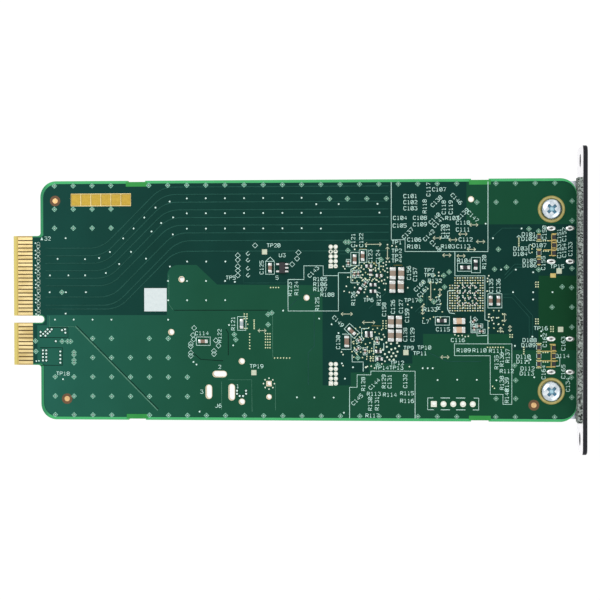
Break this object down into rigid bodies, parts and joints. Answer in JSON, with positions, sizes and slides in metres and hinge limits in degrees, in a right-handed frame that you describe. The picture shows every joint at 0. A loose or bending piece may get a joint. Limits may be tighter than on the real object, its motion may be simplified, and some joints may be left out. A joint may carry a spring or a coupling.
{
  "type": "expansion card",
  "caption": "Flat expansion card with a gold-fingered edge tab, a black face plate for two small oval ports, screws, a foam gasket and parts on both sides of a green circuit board.",
  "frame": {"origin": "midway between the two fixing holes, on the outer face of the face plate", "axes": "+X out through the face plate, +Y along the face plate, +Z from the component side to the back of the board"},
  "size_m": [0.1513, 0.08, 0.016],
  "materials": {
    "laminate": "glass-epoxy laminate under green solder mask",
    "gold_plating": "thin gold plating",
    "powder_coat": "black powder coat outside, bare zinc inside",
    "foam": "grey open-cell foam",
    "zinc_steel": "bright zinc plate",
    "shell_steel": "bright stamped steel",
    "black_moulding": "moulded black plastic",
    "solder_tin": "bright solder and tin plate",
    "chip_epoxy": "black moulding epoxy",
    "thermal_tape": "soft grey thermal tape",
    "black_anodised": "black anodised",
    "ferrite": "dark grey pressed ferrite",
    "can_aluminium": "bright drawn can",
    "chip_ceramic": "fired tan ceramic with tinned ends",
    "resistor_film": "dark glazed film with tinned ends"
  },
  "bodies": {
    "root": {"circuit_board": "laminate", "edge_contacts_back": "gold_plating", "edge_contacts_front": "gold_plating", "port_contacts_upper": "gold_plating", "port_contacts_lower": "gold_plating", "face_plate": "powder_coat", "foam_gasket": "foam", "mounting_ear_upper": "zinc_steel", "mounting_ear_lower": "zinc_steel", "board_screw_upper": "zinc_steel", "board_screw_lower": "zinc_steel", "port_shell_upper": "shell_steel", "port_shell_lower": "shell_steel", "crystal_can": "shell_steel", "port_insulator_upper": "black_moulding", "port_insulator_lower": "black_moulding", "capacitor_bases": "black_moulding", "port_leg_solder": "solder_tin", "coil_terminals": "solder_tin", "memory_leads": "solder_tin", "regulator_leads": "solder_tin", "controller_chip": "chip_epoxy", "port_power_chips": "chip_epoxy", "converter_chips": "chip_epoxy", "memory_body": "chip_epoxy", "regulator_body": "chip_epoxy", "thermal_pad": "thermal_tape", "heat_sink": "black_anodised", "power_coils": "ferrite", "ferrite_bead_back": "ferrite", "capacitor_cans": "can_aluminium", "coupling_capacitors": "chip_ceramic", "front_capacitors": "chip_ceramic", "bulk_capacitors_back": "chip_ceramic", "chip_capacitors_back": "chip_ceramic", "small_chips_back": "chip_ceramic", "tiny_chips_back": "chip_ceramic", "chip_resistors_back": "resistor_film"}
  },
  "joints": []
}
